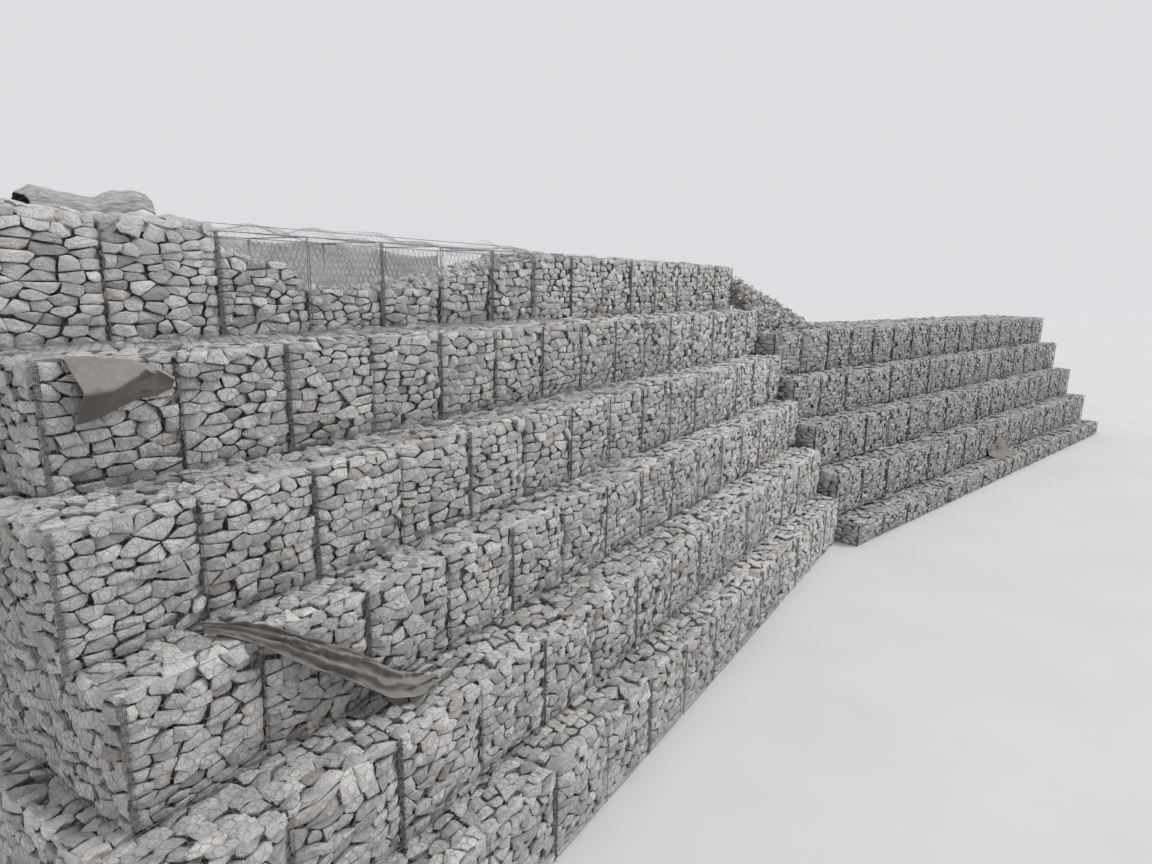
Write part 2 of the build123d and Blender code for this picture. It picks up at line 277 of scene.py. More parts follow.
def lay_outlines(panel, row, length, rng):
    """Outlines of stones over a panel: the space nearest to each site, with uneven gaps between."""
    squeeze = row / length
    sites = stone_sites(panel, row, length, rng) * (squeeze, 1)
    squares = (sites**2).sum(1)
    distances = squares[:, None] + squares[None] - 2 * sites @ sites.T
    order = np.argsort(distances, axis=1)[:, 1 : NEIGHBOURS + 1]
    outlines = []
    for i, (u, v) in enumerate(sites.tolist()):
        left, right, low, high = rng.uniform(0, SEAM_GAP, 4)
        left, right = left * squeeze, (panel.width - right) * squeeze
        low, high = low / 2, panel.height - high / 2
        outline = [(left, low), (right, low), (right, high), (left, high)]
        for j in order[i]:
            a, b = sites[j][0] - u, sites[j][1] - v
            apart = (a * a + b * b) ** 0.5
            level = abs(b) / apart
            gap = WIDEST_GAP * rng.beta(0.8, 3.2) * (UPRIGHT_GAP_SHARE + (1 - UPRIGHT_GAP_SHARE) * level)
            outline = clip(outline, a, b, (squares[j] - squares[i]) / 2 - gap * apart / 2)
            if not outline:
                break
        outline = [(p[0] / squeeze, p[1]) for p in outline]
        if panel.cut and outline:
            outline = clip(outline, *panel.cut)
        outlines.append(outline)
    return outlines


def close_corners(first, second):
    return abs(first[0] - second[0]) + abs(first[1] - second[1]) <= SHORTEST_EDGE


def tidy_outline(outline):
    """An outline without corners that lie too close together."""
    kept = []
    for point in outline:
        if not kept or not close_corners(point, kept[-1]):
            kept.append(point)
    if len(kept) > 3 and close_corners(kept[0], kept[-1]):
        kept.pop()
    return kept


def break_corners(outline, rng):
    """Knock off some corners of an outline, as on broken stone."""
    broken = []
    for i, point in enumerate(outline):
        before, after = outline[i - 1], outline[(i + 1) % len(outline)]
        if rng.random() > BROKEN_CORNERS:
            broken.append(point)
            continue
        back, on = rng.uniform(0.12, 0.38, 2)
        broken += [between(point, before, back), between(point, after, on)]
    return broken


def roughen(outline, rng):
    """Draw the corners of an outline in unevenly and bend its long edges."""
    middle = np.mean(outline, axis=0)
    rough = []
    for i, point in enumerate(outline):
        here, after = np.array(point), np.array(outline[(i + 1) % len(outline)])
        rough.append(here + (middle - here) * rng.uniform(-0.06, 0.09))
        if np.linalg.norm(after - here) > LONG_EDGE:
            bend = here + (after - here) * rng.uniform(0.3, 0.7)
            rough.append(bend + (middle - bend) * rng.uniform(-0.08, 0.1))
    return rough


def stone_faces(corners, rings):
    """Faces of a stone: a point at its hidden root, bands between its rings, and a point in front."""
    root, peak, first = 0, 1, 2
    last = first + (rings - 1) * corners
    pairs = [(i, (i + 1) % corners) for i in range(corners)]
    faces = [(root, first + j, first + i) for i, j in pairs]
    for low in range(first, last, corners):
        high = low + corners
        faces += [(low + i, low + j, high + j, high + i) for i, j in pairs]
    return faces + [(last + i, last + j, peak) for i, j in pairs]


SMALLEST_STONE = 0.0006
SHORTEST_EDGE = 0.015
LONG_EDGE = 0.07
BROKEN_CORNERS = 0.35
BREAKS = 4
RING_SHARES = ((0.74, 0.95), (0.3, 0.62))
NEAR_RINGS, MIDDLE_RINGS, FAR_RINGS = 3, 2, 1


def add_stones(shape, panel, rng, relief=FACE_RELIEF, row=STONE_ROW, length=STONE_LENGTH, rings=NEAR_RINGS):
    """Cover a panel with laid stones. The front of each is cut by a few slanting breaks."""
    for outline in lay_outlines(panel, row, length, rng):
        if len(outline) < 3:
            continue
        if rings > FAR_RINGS:
            outline = roughen(break_corners(outline, rng), rng)
        outline = tidy_outline(outline)
        corners = len(outline)
        if corners < 3:
            continue
        flat = np.array(outline)
        after = np.roll(flat, -1, axis=0)
        area = 0.5 * abs(np.dot(flat[:, 0], after[:, 1]) - np.dot(flat[:, 1], after[:, 0]))
        if area < SMALLEST_STONE:
            continue
        middle = flat.mean(0)
        reach = flat - middle
        radius = np.sqrt((reach**2).sum(1)).mean()
        height = rng.uniform(*relief)
        turns = rng.uniform(0, 2 * pi) + np.arange(BREAKS) * 2 * pi / BREAKS + rng.normal(0, 0.5, BREAKS)
        steep = rng.uniform(0.06, 0.7, BREAKS)
        steep[0] *= 0.3
        slopes = np.stack([np.cos(turns), np.sin(turns)], 1) * steep[:, None]
        lifts = radius * rng.uniform(-0.02, 0.26, BREAKS) * (1 + steep)

        def level(spots):
            return height + ((spots - middle) @ slopes.T + lifts).min(1) + panel.swell(spots)

        drop = radius * rng.uniform(0.0, 0.18, corners)
        peak = middle[None] + rng.normal(0, 0.16, 2) * radius
        root = middle[None]
        points = [panel.place(root, -STONE_ROOT), panel.place(peak, level(peak))]
        points.append(panel.place(flat, level(flat) - drop))
        for shares in RING_SHARES[NEAR_RINGS - rings :]:
            inner = middle + reach * rng.uniform(*shares, (corners, 1))
            points.append(panel.place(inner, level(inner) + radius * rng.normal(0, 0.02, corners)))
        shape.add(np.concatenate(points), stone_faces(corners, rings))


def add_block(shape, run, spots, bottom):
    """A closed block of the core's material over four spots, each (x, y, height)."""
    corners = [run.point(x, y, bottom) for x, y, height in spots]
    corners += [run.point(x, y, bottom + height) for x, y, height in spots]
    faces = [(3, 2, 1, 0), (4, 5, 6, 7), (0, 1, 5, 4), (1, 2, 6, 5), (2, 3, 7, 6), (3, 0, 4, 7)]
    shape.add(corners, faces, 1)


def add_core(shape, run, left, right, front, back, bottom, height, mitre=0.0):
    """The shaded inside of a course behind its stones. A mitred right end leans with the bend."""
    left, right, front = left + CORE_DEPTH, right - CORE_DEPTH, front + CORE_DEPTH
    spots = (left, front), (right + mitre * front, front), (right + mitre * back, back), (left, back)
    add_block(shape, run, [(x, y, height - CORE_DEPTH) for x, y in spots], bottom)


def unit(vectors):
    """Vectors of length one in the same directions."""
    return vectors / np.linalg.norm(vectors, axis=-1, keepdims=True)


def add_tube(shape, path, radius, sides, reference):
    """A wire along a path of points."""
    path = np.asarray(path, float)
    along = unit(np.gradient(path, axis=0))
    side = unit(np.cross(along, reference))
    other = np.cross(along, side)
    angles = np.arange(sides) * 2 * pi / sides
    rings = (
        path[:, None]
        + radius * np.cos(angles)[None, :, None] * side[:, None]
        + radius * np.sin(angles)[None, :, None] * other[:, None]
    ).reshape(-1, 3)
    faces = [tuple(reversed(range(sides))), tuple(range(len(rings) - sides, len(rings)))]
    for i in range(len(path) - 1):
        for j in range(sides):
            k = (j + 1) % sides
            faces.append((i * sides + j, i * sides + k, (i + 1) * sides + k, (i + 1) * sides + j))
    shape.add(rings, faces)


def add_coil(shape, start, end, normal, radius, pitch, per_turn, phase):
    """Lacing wire wound along a seam by hand, now tighter and now looser."""
    length = np.linalg.norm(end - start)
    axis = (end - start) / length
    across = np.cross(axis, normal)
    turns = max(1, round(length / pitch))
    steps = np.linspace(0, 1, turns * per_turn + 1)
    angles = steps * turns * 2 * pi + phase + 1.3 * np.sin(9 * steps * length + phase)
    spread = radius * (1 + 0.25 * np.sin(23 * steps * length + phase) + 0.2 * np.sin(61 * steps * length))
    path = (
        start
        + steps[:, None] * (end - start)
        + (spread * np.cos(angles))[:, None] * across
        + (0.8 * spread * np.sin(angles))[:, None] * normal
    )
    add_tube(shape, path, LACING_WIRE, 3, axis)


def add_mesh_wires(shape, starts, ends, outward, sides):
    """Many short straight wires at once, three-sided, or with only the two sides away from the stones."""
    other = unit(np.cross(ends - starts, outward))
    corners = []
    for ends_of in (starts, ends):
        for n in range(3):
            angle = n * 2 * pi / 3
            corners.append(ends_of + MESH_WIRE * (cos(angle) * outward + sin(angle) * other))
    points = np.stack(corners, 1).reshape(-1, 3)
    firsts = np.arange(len(starts)) * 6
    quads = []
    for n, following in ((0, 1), (2, 0), (1, 2))[:sides]:
        quads.append(np.stack([firsts + n, firsts + following, firsts + 3 + following, firsts + 3 + n], 1))
    shape.add(points, np.concatenate(quads).tolist())


def hex_segments(width, height):
    """Straight stretches of double-twist mesh over a rectangle, as pairs of flat places."""
    columns = ceil(width / HEX_WIDTH) + 1
    rows = ceil(height / HEX_PITCH) + 1
    starts, ends = [], []
    for row in range(rows):
        shift = (row % 2) * HEX_WIDTH / 2
        level = row * HEX_PITCH
        for column in range(columns):
            x = column * HEX_WIDTH + shift
            low, high = (x, level), (x, level + HEX_TWIST)
            starts += [low, high, high]
            ends += [high, (x - HEX_WIDTH / 2, level + HEX_PITCH), (x + HEX_WIDTH / 2, level + HEX_PITCH)]
    starts, ends = np.array(starts), np.array(ends)
    limits = np.array([width, height])
    inside = ((starts >= 0) & (starts <= limits) & (ends >= 0) & (ends <= limits)).all(1)
    return starts[inside], ends[inside]


def add_mesh(shape, panel, stand_off, slack, seed, sides=2):
    """Woven wire over a panel, whose slack lets it hang in and out a little."""
    starts, ends = hex_segments(panel.width, panel.height)
    placed = []
    for places in (starts, ends):
        hang = [slack * noise.noise(Vector((1.7 * u, 1.9 * v, seed))) for u, v in places.tolist()]
        placed.append(panel.place(places, stand_off + panel.swell(places) + hang))
    add_mesh_wires(shape, *placed, panel.normal, sides)


def cell_edges(start, seam, end):
    """Places of the seams between two ends, without a sliver of a cell at either."""
    edges = [start]
    while seam < end - SHORTEST_CELL:
        if seam > start + SHORTEST_CELL:
            edges.append(seam)
        seam += CELL
    return edges + [end]


# Materials


class Look:
    """A material and its nodes, with short ways to add and join them."""

    def __init__(self, name, roughness, metallic=0.0):
        self.material = bpy.data.materials.new(name)
        self.material.use_nodes = True
        self.nodes, self.links = self.material.node_tree.nodes, self.material.node_tree.links
        self.shader = self.nodes["Principled BSDF"]
        self.shader.inputs["Roughness"].default_value = roughness
        self.shader.inputs["Metallic"].default_value = metallic
        self.place = self.nodes.new("ShaderNodeTexCoord").outputs["Object"]

    def show(self, value, socket):
        self.links.new(value, self.shader.inputs[socket])

    def node(self, kind, **settings):
        node = self.nodes.new("ShaderNode" + kind)
        for name, value in settings.items():
            node.inputs[name.replace("_", " ")].default_value = value
        return node

    def noise(self, scale, detail, roughness=0.6, place=None):
        node = self.node("TexNoise", Scale=scale, Detail=detail, Roughness=roughness)
        self.links.new(place or self.place, node.inputs["Vector"])
        return node.outputs["Fac"]

    def ramp(self, value, *stops):
        node = self.node("ValToRGB")
        elements = node.color_ramp.elements
        while len(elements) < len(stops):
            elements.new(0.5)
        for element, (position, colour) in zip(elements, stops):
            element.position = position
            element.color = (*colour, 1)
        self.links.new(value, node.inputs["Fac"])
        return node.outputs["Color"]

    def mix(self, kind, share, first, second):
        node = self.node("Mix")
        node.data_type = "RGBA"
        node.blend_type = kind
        for socket, value in (("Factor", share), ("A", first), ("B", second)):
            if isinstance(value, float):
                node.inputs[socket].default_value = value
            elif isinstance(value, tuple):
                node.inputs[socket].default_value = (*value, 1)
            else:
                self.links.new(value, node.inputs[socket])
        return node.outputs["Result"]

    def bump(self, height, strength, distance, before=None):
        node = self.node("Bump", Strength=strength, Distance=distance)
        self.links.new(height, node.inputs["Height"])
        if before is not None:
            self.links.new(before, node.inputs["Normal"])
        return node.outputs["Normal"]


def grey(value, warmth=0.0):
    return value * (1 + warmth), value, value * (1 - warmth)


def stone_material(name, dim):
    """Broken quarry stone: light grey with each stone its own tone, a few brown or rusty."""
    look = Look(name, 0.92)
    tone = look.ramp(
        look.node("NewGeometry").outputs["Random Per Island"],
        (0.00, grey(0.35 * dim, 0.03)),
        (0.08, grey(0.43 * dim, 0.02)),
        (0.30, grey(0.50 * dim, 0.015)),
        (0.60, grey(0.55 * dim, 0.02)),
        (0.82, grey(0.60 * dim, 0.03)),
        (0.96, grey(0.64 * dim, 0.04)),
        (0.985, grey(0.48 * dim, 0.07)),
        (0.996, (0.36 * dim, 0.31 * dim, 0.28 * dim)),
    )
    cloud = look.ramp(look.noise(5.0, 5.0), (0.3, grey(0.78)), (0.7, grey(1.12)))
    colour = look.mix("MULTIPLY", 1.0, tone, cloud)
    speck = look.ramp(look.noise(70.0, 4.0, 0.75), (0.35, grey(0.62)), (0.62, grey(1.12)))
    look.show(look.mix("MULTIPLY", 0.8, colour, speck), "Base Color")
    chips = look.bump(look.noise(28.0, 6.0, 0.7), 0.8, 0.025)
    look.show(look.bump(look.noise(160.0, 3.0), 0.35, 0.004, chips), "Normal")
    return look.material


def core_material():
    """The shaded smaller stones that show between the laid ones."""
    look = Look("shaded_inside", 1.0)
    cells = look.node("TexVoronoi", Scale=22.0)
    look.links.new(look.place, cells.inputs["Vector"])
    cells = cells.outputs["Distance"]
    edges = look.ramp(cells, (0.2, grey(1.0)), (0.75, grey(0.35)))
    tone = look.ramp(look.noise(9.0, 4.0), (0.3, grey(0.27, 0.02)), (0.7, grey(0.50, 0.03)))
    look.show(look.mix("MULTIPLY", 1.0, tone, edges), "Base Color")
    look.show(look.bump(cells, 1.0, -0.04), "Normal")
    return look.material


def wire_material(name, dark, light):
    """Zinc-coated wire, dulled by weather; the dark greys of the lacing are painted shade of the seams."""
    look = Look(name, 0.5, 0.6)
    look.show(look.ramp(look.noise(30.0, 3.0), (0.3, grey(dark)), (0.7, grey(light))), "Base Color")
    look.show(look.ramp(look.noise(90.0, 2.0), (0.2, grey(0.38)), (0.8, grey(0.62))), "Roughness")
    return look.material


def fabric_material(name, dark, light, soil_share, underside_shade_share, rolled=False):
    """Needle-punched filter fabric, dusty and stained with soil, with painted shade on the faces that turn
    downwards.
    """
    look = Look(name, 0.95)
    grain = look.place
    if rolled:
        stretch = look.node("Mapping", Scale=(0.6, 11.0, 11.0))
        look.links.new(look.place, stretch.inputs["Vector"])
        grain = stretch.outputs["Vector"]
    base = look.ramp(look.noise(4.0, 6.0, 0.65, grain), (0.32, dark), (0.68, light))
    soil = look.ramp(look.noise(2.6, 5.0, 0.7), (0.52, grey(0.0)), (0.74, grey(soil_share)))
    stained = look.mix("MIX", soil, base, (0.25, 0.19, 0.145))
    fibres = look.ramp(look.noise(140.0, 3.0, 0.8), (0.3, grey(0.8)), (0.7, grey(1.12)))
    colour = look.mix("MULTIPLY", 0.8, stained, fibres)
    # Painted shade: faces that turn downwards are mixed towards a dark brown, the more the further they
    # turn.
    facing = look.node("SeparateXYZ")
    look.links.new(look.node("NewGeometry").outputs["Normal"], facing.inputs["Vector"])
    turned = look.node("MapRange", From_Min=0.1, From_Max=-0.6, To_Max=underside_shade_share)
    look.links.new(facing.outputs["Z"], turned.inputs["Value"])
    look.show(look.mix("MIX", turned.outputs["Result"], colour, (0.085, 0.07, 0.06)), "Base Color")
    creases = look.bump(look.noise(11.0, 5.0, 0.65), 0.9, 0.03)
    look.show(look.bump(look.noise(260.0, 3.0, 0.8), 0.5, 0.003, creases), "Normal")
    look.shader.inputs["Sheen Weight"].default_value = 0.2
    return look.material


# Two copies of one stone: the left run's is brightened, and the right run's is darker, painted shade where
# that run turns from the light.
STONE = stone_material("quarry_stone", 1.13)
SHADED_STONE = stone_material("shaded_quarry_stone", 0.87)
CORE = core_material()
MESH_STEEL = wire_material("mesh_wire", 0.18, 0.40)
# Lacing wire: a weathered zinc grey whose near-black end is painted shade of the seams it lies in.
LACING_STEEL = wire_material("lacing_wire", 0.05, 0.42)
# Painted shade: the far seams' lacing is nearly black, standing in for the shade in the seams between
# baskets.
SHADED_LACING_STEEL = wire_material("shaded_lacing_wire", 0.03, 0.13)
# The last share given to each fabric sets how much painted shade darkens its downward faces.
FABRIC = fabric_material("filter_fabric", grey(0.18, 0.08), grey(0.28, 0.08), 0.3, 0.9)
LINING = fabric_material("filter_fabric_lining", grey(0.46, 0.02), grey(0.58, 0.02), 0.12, 0.0)
BUNDLE = fabric_material("filter_fabric_bundle", grey(0.17, 0.03), grey(0.60, 0.03), 0.1, 0.85, True)


# Courses
JOINT_REACH = 0.024
JOINT_PITCH = 0.05
DIAPHRAGM_REACH = 0.011
DIAPHRAGM_PITCH = 0.08
NEAR_STRANDS = (-0.016, -0.005, 0.006, 0.017)
FAR_STRANDS = (-0.009, 0.009)
FAR_BUNDLE = 0.008
SEAM_STAND_OFF = 0.03


def add_seams(shape, run, edges, front, bottom, height, near_part):
    """Edge wires and lacing on the front of one course, in full before near_part and plainer past it."""
    normal = -run.inward
    joints = edges[::CELLS_PER_BASKET] + edges[-1:]
    for edge in edges:
        joint, close = edge in joints, edge < near_part
        reach, pitch = (JOINT_REACH, JOINT_PITCH) if joint else (DIAPHRAGM_REACH, DIAPHRAGM_PITCH)
        x = min(max(edge, edges[0] + reach), edges[-1] - reach)
        foot = run.point(x, front - SEAM_STAND_OFF, bottom + 0.01)
        head = run.point(x, front - SEAM_STAND_OFF, bottom + height - 0.005)
        for phase in ((0.0, 2.4) if joint and close else (0.7 * edge,)):
            winding = (pitch, 6) if close else (2 * pitch, 4)
            add_coil(shape, foot, head, normal, reach, *winding, phase + edge)
        strands = (NEAR_STRANDS if close else FAR_STRANDS) if joint else (0.0,)
        levels = np.linspace(0, 1, 9 if close else 3)
        for side in strands:
            wander = 0.006 * np.sin(11 * levels * height + 40 * side + edge)
            path = foot + levels[:, None] * (head - foot) + (side + wander)[:, None] * run.along
            strand = FAR_BUNDLE if not close else EDGE_WIRE / 2 if joint else LACING_WIRE
            add_tube(shape, path, strand, 3, normal)
    places = np.linspace(edges[0], edges[-1], int((edges[-1] - edges[0]) / 0.25) + 2)
    for z in (bottom + 0.012, bottom + height - 0.008):
        path = []
        for x in places:
            path.append(run.point(x, front - 0.02 - 0.012 * abs(sin(5 * x)), z + 0.006 * sin(7.3 * x + z)))
        add_tube(shape, path, LACING_WIRE, 3, UP)


NEAR_PART = -9.5
MIDDLE_PART = -6.0
TOP_SEAM_PART = -4.0
WOVEN_FRONT_PART = -5.0
WOVEN_BERM_PART = -8.0
NARROWEST_STRIP = 0.05
SHOWN_AT_BEND = 1.1


def panel_between(left, right, front, bottom, height, inset=SEAM_INSET, run=LEFT):
    """The front of one cell, between its two seams."""
    return front_panel(run, left + inset, right - inset, front, bottom, height, bulge=BULGE)


def make_left_course(number, above, start_above, bottom, front, start, seam):
    """One lower course of the left run, with its berm, left end and mitred right end."""
    rng = np.random.default_rng(100 + number)
    top = bottom + CELL
    edges = cell_edges(start, seam, MITRE * front)
    shape, woven = Shape(), Shape()
    add_core(shape, LEFT, edges[0], 0.0, front, LEFT_BACK, bottom, CELL, MITRE)
    for left, right in zip(edges, edges[1:]):
        rings = NEAR_RINGS if left < NEAR_PART else MIDDLE_RINGS if left < MIDDLE_PART else FAR_RINGS
        panel = panel_between(left, right, front, bottom, CELL)
        add_stones(shape, panel, rng, rings=rings)
        if left < WOVEN_FRONT_PART:
            add_mesh(woven, panel, MESH_OFF, FRONT_SLACK, left)
        berm = top_panel(LEFT, left, right, front, above + UNDER_NEXT_COURSE, top, bulge=BERM_BULGE)
        add_stones(shape, berm, rng, rings=rings, **LEFT_BERM_STONE)
        if left < WOVEN_BERM_PART:
            seen = top_panel(LEFT, left, right, front, above, top, bulge=BERM_BULGE)
            add_mesh(woven, seen, MESH_OFF, BERM_SLACK, left + 50)
    for near in np.arange(front, LEFT_BACK - SHORTEST_END_CELL, CELL):
        far = min(near + CELL, LEFT_BACK)
        end = start_panel(LEFT, edges[0], near, far, bottom, CELL, bulge=END_BULGE)
        add_stones(shape, end, rng, rings=MIDDLE_RINGS)
        add_mesh(woven, end, MESH_OFF, FRONT_SLACK, near + 90)
    if start_above > edges[0] + NARROWEST_STRIP:
        strip = top_panel(LEFT, edges[0], start_above + UNDER_NEXT_COURSE, above, LEFT_BACK, top)
        add_stones(shape, strip, rng, **LEFT_BERM_STONE)
    if number == 2:
        # The mitred end of this course stands above the right run
        slope = (LEFT_BACK - front) / cos(BEND_ANGLE)
        side = Panel(UP * bottom, RIGHT.inward, UP, slope, CELL, bulge=SIDE_BULGE)
        add_stones(shape, side, rng, rings=FAR_RINGS)
    stones = shape.piece(f"left_course_{number}_stones", "quarry_stone", [STONE, CORE])
    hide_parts(f"left_course_{number}_baskets")
    woven.piece(f"left_course_{number}_woven_wire", "wire_mesh", [MESH_STEEL])
    seams = Shape()
    add_seams(seams, LEFT, edges, front, bottom, CELL, NEAR_PART)
    lacing = seams.piece(f"left_course_{number}_lacing", "laced_wire", [LACING_STEEL])
    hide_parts(f"left_course_{number}_seam_wires")


def make_right_course(number, above, bottom, height, front):
    """One course of the right run, with its berm and both ends."""
    rng = np.random.default_rng(200 + number)
    top = bottom + height
    edges = [RIGHT_CELL * n for n in range(int(RIGHT_LENGTH / RIGHT_CELL) + 1)]
    shape = Shape()
    add_core(shape, RIGHT, 0.0, RIGHT_LENGTH, front, RIGHT_BACK, bottom, height)
    for left, right in zip(edges, edges[1:]):
        panel = panel_between(left, right, front, bottom, height, FAR_SEAM_INSET, RIGHT)
        add_stones(shape, panel, rng, rings=FAR_RINGS)
        berm = top_panel(RIGHT, left, right, front, above, top, bulge=BERM_BULGE)
        add_stones(shape, berm, rng, rings=FAR_RINGS, **RIGHT_BERM_STONE)
    begin = start_panel(RIGHT, 0.0, front, front + SHOWN_AT_BEND, bottom, height, bulge=END_BULGE)
    add_stones(shape, begin, rng, rings=MIDDLE_RINGS)
    for near in np.arange(front, RIGHT_BACK - SHORTEST_END_CELL, CELL):
        far = min(near + CELL, RIGHT_BACK)
        end = end_panel(RIGHT, RIGHT_LENGTH, near, far, bottom, height, bulge=END_BULGE)
        add_stones(shape, end, rng, rings=MIDDLE_RINGS)
    stones = shape.piece(f"right_course_{number}_stones", "quarry_stone", [SHADED_STONE, CORE])
    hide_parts(f"right_course_{number}_baskets")
    seams = Shape()
    add_seams(seams, RIGHT, edges, front, bottom, height, NEAR_PART)
    lacing = seams.piece(f"right_course_{number}_lacing", "laced_wire", [SHADED_LACING_STEEL])
    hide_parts(f"right_course_{number}_seam_wires")


above, start_above = TOP_FRONT, TOP_START
for number, sizes in LEFT_COURSES.items():
    make_left_course(number, above, start_above, **sizes)
    above, start_above = sizes["front"], sizes["start"]
above = RIGHT_BACK
for number, sizes in RIGHT_COURSES.items():
    make_right_course(number, above, **sizes)
    above = sizes["front"] + UNDER_NEXT_COURSE


# Loose stones


def rock_shapes(rng, count):
    """Sharp-edged loose stones, each a hull of a few points."""
    shapes = []
    for _ in range(count):
        spots = unit(rng.normal(0, 1, (15, 3)))
        spots *= rng.uniform(0.75, 1.0, (15, 1)) * np.array([1.0, 0.75, 0.6])
        hull = bmesh.new()
        for spot in spots:
            hull.verts.new(spot)
        bmesh.ops.convex_hull(hull, input=hull.verts)
        bmesh.ops.delete(hull, geom=[v for v in hull.verts if not v.link_faces], context="VERTS")
        bmesh.ops.recalc_face_normals(hull, faces=hull.faces)
        hull.verts.index_update()
        shapes.append(([tuple(v.co) for v in hull.verts], [[v.index for v in f.verts] for f in hull.faces]))
        hull.free()
    return shapes


ROCKS = rock_shapes(np.random.default_rng(7), 28)


def add_rock(shape, centre, size, rng, lie):
    """One loose stone, turned any way round and lying near to flat."""
    points, faces = ROCKS[rng.integers(len(ROCKS))]
    turn = Matrix.Rotation(rng.uniform(0, 2 * pi), 3, "Z")
    tip = Matrix.Rotation(rng.normal(0, lie), 3, "X") @ Matrix.Rotation(rng.normal(0, lie), 3, "Y")
    placed = np.array(points) @ np.array(turn @ tip).T * size + centre
    shape.add(placed, faces)


def scatter(shape, run, x, y, level, rng, spacing, sizes, sink, lie):
    """Loose stones over a patch, with their tops following a level given along and across it."""
    for u in np.arange(x[0] + spacing / 2, x[1], spacing):
        for v in np.arange(y[0] + spacing / 2, y[1], spacing):
            spot_x = u + rng.uniform(-0.45, 0.45) * spacing
            spot_y = v + rng.uniform(-0.45, 0.45) * spacing
            size = rng.uniform(*sizes)
            height = level(spot_x, spot_y)
            if height is not None:
                add_rock(shape, run.point(spot_x, spot_y, height - sink * size), size, rng, lie)


# Top course
TOP_END = TOP_FRONT, LEFT_BACK, TOP_BOTTOM, CELL
top_rng = np.random.default_rng(41)
open_edges = [OPEN_START + n * CELL for n in range(OPEN_CELLS + 1)]
open_end = open_edges[-1]
near_edges = cell_edges(TOP_START, TOP_SEAM, OPEN_START)
far_edges = cell_edges(open_end, open_end + CELL, MITRE * TOP_FRONT)


def add_baskets(shape, edges, overfill, front_stone, top_stone, rings):
    """Stones of the full baskets between some edges of the top course: front, back and top."""
    for left, right in zip(edges, edges[1:]):
        front = panel_between(left, right, TOP_FRONT, TOP_BOTTOM, CELL + overfill)
        add_stones(shape, front, top_rng, rings=rings, **front_stone)
        behind = back_panel(LEFT, left, right, LEFT_BACK, TOP_BOTTOM, CELL, bulge=END_BULGE)
        add_stones(shape, behind, top_rng, rings=rings - 1)
        top = top_panel(LEFT, left, right, TOP_FRONT, LEFT_BACK, TOP_LEVEL, bulge=overfill + END_BULGE)
        add_stones(shape, top, top_rng, rings=rings, **top_stone)


def make_near_baskets():
    """The heaped baskets at the left end."""
    shape = Shape()
    add_core(shape, LEFT, near_edges[0], near_edges[-1], *TOP_END)
    add_baskets(shape, near_edges, OVERFILL, HEAPED_STONE, NEAR_TOP_STONE, NEAR_RINGS)
    add_stones(shape, start_panel(LEFT, near_edges[0], *TOP_END, bulge=END_BULGE), top_rng)
    add_stones(shape, end_panel(LEFT, near_edges[-1] - INNER_END, *TOP_END, bulge=SIDE_BULGE), top_rng)
    stones = shape.piece("top_course_near_stones", "quarry_stone", [STONE, CORE])
    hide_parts("top_course_near_basket")


def make_far_baskets():
    """The full baskets from the open ones to the bend."""
    shape = Shape()
    add_core(shape, LEFT, far_edges[0], 0.0, *TOP_END, MITRE)
    add_baskets(shape, far_edges, 0.0, {}, FAR_TOP_STONE, MIDDLE_RINGS)
    add_stones(shape, start_panel(LEFT, far_edges[0] + INNER_END, *TOP_END, bulge=SIDE_BULGE), top_rng)
    corner = RIGHT.inward * TOP_FRONT / cos(BEND_ANGLE) + UP * TOP_BOTTOM
    depth = (LEFT_BACK - TOP_FRONT) / cos(BEND_ANGLE)
    side = Panel(corner, RIGHT.inward, UP, depth, CELL, bulge=SIDE_BULGE)
    add_stones(shape, side, top_rng, rings=FAR_RINGS)
    stones = shape.piece("top_course_far_stones", "quarry_stone", [STONE, CORE])
    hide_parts("top_course_far_baskets")


def add_fill_core(shape, left, right, left_height, right_height):
    """The shaded inside of one sloping fill."""
    begin = left + FILL_SIDE_INSET, left_height - FILL_CORE_DROP
    end = right - FILL_SIDE_INSET, right_height - FILL_CORE_DROP
    front, back = TOP_FRONT + FILL_CORE_INSET, LEFT_BACK - FILL_CORE_INSET
    spots = [(x, front, height) for x, height in (begin, end)]
    spots += [(x, back, height) for x, height in (end, begin)]
    add_block(shape, LEFT, spots, TOP_BOTTOM)


def make_fill(number, left_height, right_height):
    """The sloping stones inside one open cell."""
    left, right = open_edges[number - 1], open_edges[number]
    rise = right_height - left_height
    shape = Shape()
    rng = np.random.default_rng(300 + number)
    ends = left + FILL_INSET, right - FILL_INSET
    tallest = max(left_height, right_height)
    cut = -rise / CELL, 1.0, left_height - FILL_BRIM
    front = front_panel(LEFT, *ends, TOP_FRONT + INNER_END, TOP_BOTTOM, tallest, bulge=END_BULGE, cut=cut)
    add_stones(shape, front, rng, **HEAPED_STONE)
    cut = rise / CELL, 1.0, right_height - FILL_BRIM
    behind = back_panel(LEFT, *ends, LEFT_BACK - INNER_END, TOP_BOTTOM, tallest, bulge=SIDE_BULGE, cut=cut)
    add_stones(shape, behind, rng, rings=MIDDLE_RINGS)
    add_fill_core(shape, left, right, left_height, right_height)

    def level(x, y):
        return TOP_BOTTOM + left_height + rise * (x - left) / CELL

    patch = (left + 0.06, right - 0.06), (TOP_FRONT + 0.08, LEFT_BACK - 0.08)
    scatter(shape, LEFT, *patch, level, rng, **FILL_STONES)
    stones = shape.piece(f"open_basket_stones_{number}", "quarry_stone", [STONE, CORE])
    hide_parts(f"open_basket_stone_fill_{number}")


make_near_baskets()
make_far_baskets()
for number, heights in enumerate(FILL_HEIGHTS, 1):
    make_fill(number, *heights)

